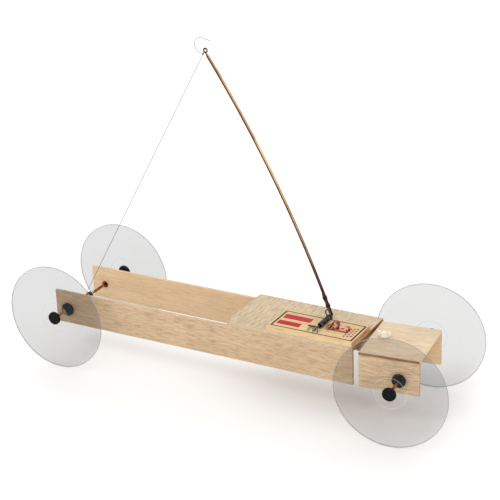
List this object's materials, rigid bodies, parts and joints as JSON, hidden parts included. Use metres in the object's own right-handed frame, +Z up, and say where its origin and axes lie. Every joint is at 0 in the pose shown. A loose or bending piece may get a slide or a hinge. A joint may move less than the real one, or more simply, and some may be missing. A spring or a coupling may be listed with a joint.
{
  "type": "snap-trap powered car",
  "caption": "Balsa car driven by a snap trap: sprung lever arm with a string to the rear axle, clear disc wheels and a steered front carriage.",
  "frame": {"origin": "on the floor under the middle of the box round the car", "axes": "+X forward, +Y left, +Z up"},
  "size_m": [0.5244, 0.1518, 0.3761],
  "materials": {
    "balsa": "bare sanded balsa sheet",
    "plywood": "thin plywood",
    "trap_wood": "yellow pine with a printed border",
    "brass": "bright drawn rod, warm",
    "lashing_brass": "darkened wire wraps",
    "clear_plastic": "clear moulded polycarbonate",
    "black_rubber": "semi-matte",
    "nylon": "natural nylon",
    "bright_steel": "plated",
    "dark_steel": "oil-blackened spring steel",
    "copper_plate": "copper-plated sheet",
    "string": "fine nylon line"
  },
  "bodies": {
    "chassis": {"left_rail": "balsa", "right_rail": "balsa", "main_deck": "balsa", "pivot_tongue": "plywood", "pivot_bolt": "nylon", "rear_axle_eyelets": "brass", "trap_base": "trap_wood", "spring_staples": "bright_steel", "pedal_staple": "bright_steel", "spring_coil": "dark_steel", "string_taut": "string"},
    "rear_axle_set": {"rear_axle": "brass", "rear_wheel_left": "clear_plastic", "rear_wheel_right": "clear_plastic", "rear_hubs": "black_rubber", "rear_spacers": "black_rubber", "string_hub": "black_rubber", "string_collar": "nylon", "string_turns": "string"},
    "front_carriage": {"front_deck": "balsa", "left_side_board": "balsa", "right_side_board": "balsa", "front_axle_eyelets": "brass"},
    "front_axle_set": {"front_axle": "brass", "front_wheel_left": "clear_plastic", "front_wheel_right": "clear_plastic", "front_hubs": "black_rubber", "front_spacers": "black_rubber"},
    "lever": {"hammer_bar": "dark_steel", "lever_arm": "brass", "lever_lashings": "lashing_brass", "spring_moving_leg": "dark_steel", "string_knot": "string", "string_tail": "string"},
    "pedal": {"bait_pedal": "copper_plate"},
    "wing_nut": {"wing_nut": "nylon"}
  },
  "joints": [
    {"name": "rear_axle_spin", "type": "hinge", "parent": "chassis", "child": "rear_axle_set", "pos_m": [-0.202, -0.0033, 0.06], "axis": [0, 1, 0], "continuous": true},
    {"name": "steering", "type": "hinge", "parent": "chassis", "child": "front_carriage", "pos_m": [0.166, -0.0033, 0.08], "axis": [0, 0, 1], "range_deg": [-10.5, 1]},
    {"name": "front_axle_spin", "type": "hinge", "parent": "front_carriage", "child": "front_axle_set", "pos_m": [0.19614, -0.00331, 0.06], "axis": [-0.0958, 0.9954, 0], "continuous": true},
    {"name": "lever_swing", "type": "hinge", "parent": "chassis", "child": "lever", "pos_m": [0.1028, -0.0188, 0.0932], "axis": [0, 1, 0], "range_deg": [-58, 106], "deforming": ["string_taut"]},
    {"name": "pedal_tilt", "type": "hinge", "parent": "chassis", "child": "pedal", "pos_m": [0.1125, -0.0176, 0.0921], "axis": [0, 1, 0], "range_deg": [-8, 0]},
    {"name": "wing_nut_turn", "type": "hinge", "parent": "chassis", "child": "wing_nut", "pos_m": [0.166, -0.0033, 0.086], "axis": [0, 0, 1], "continuous": true}
  ]
}
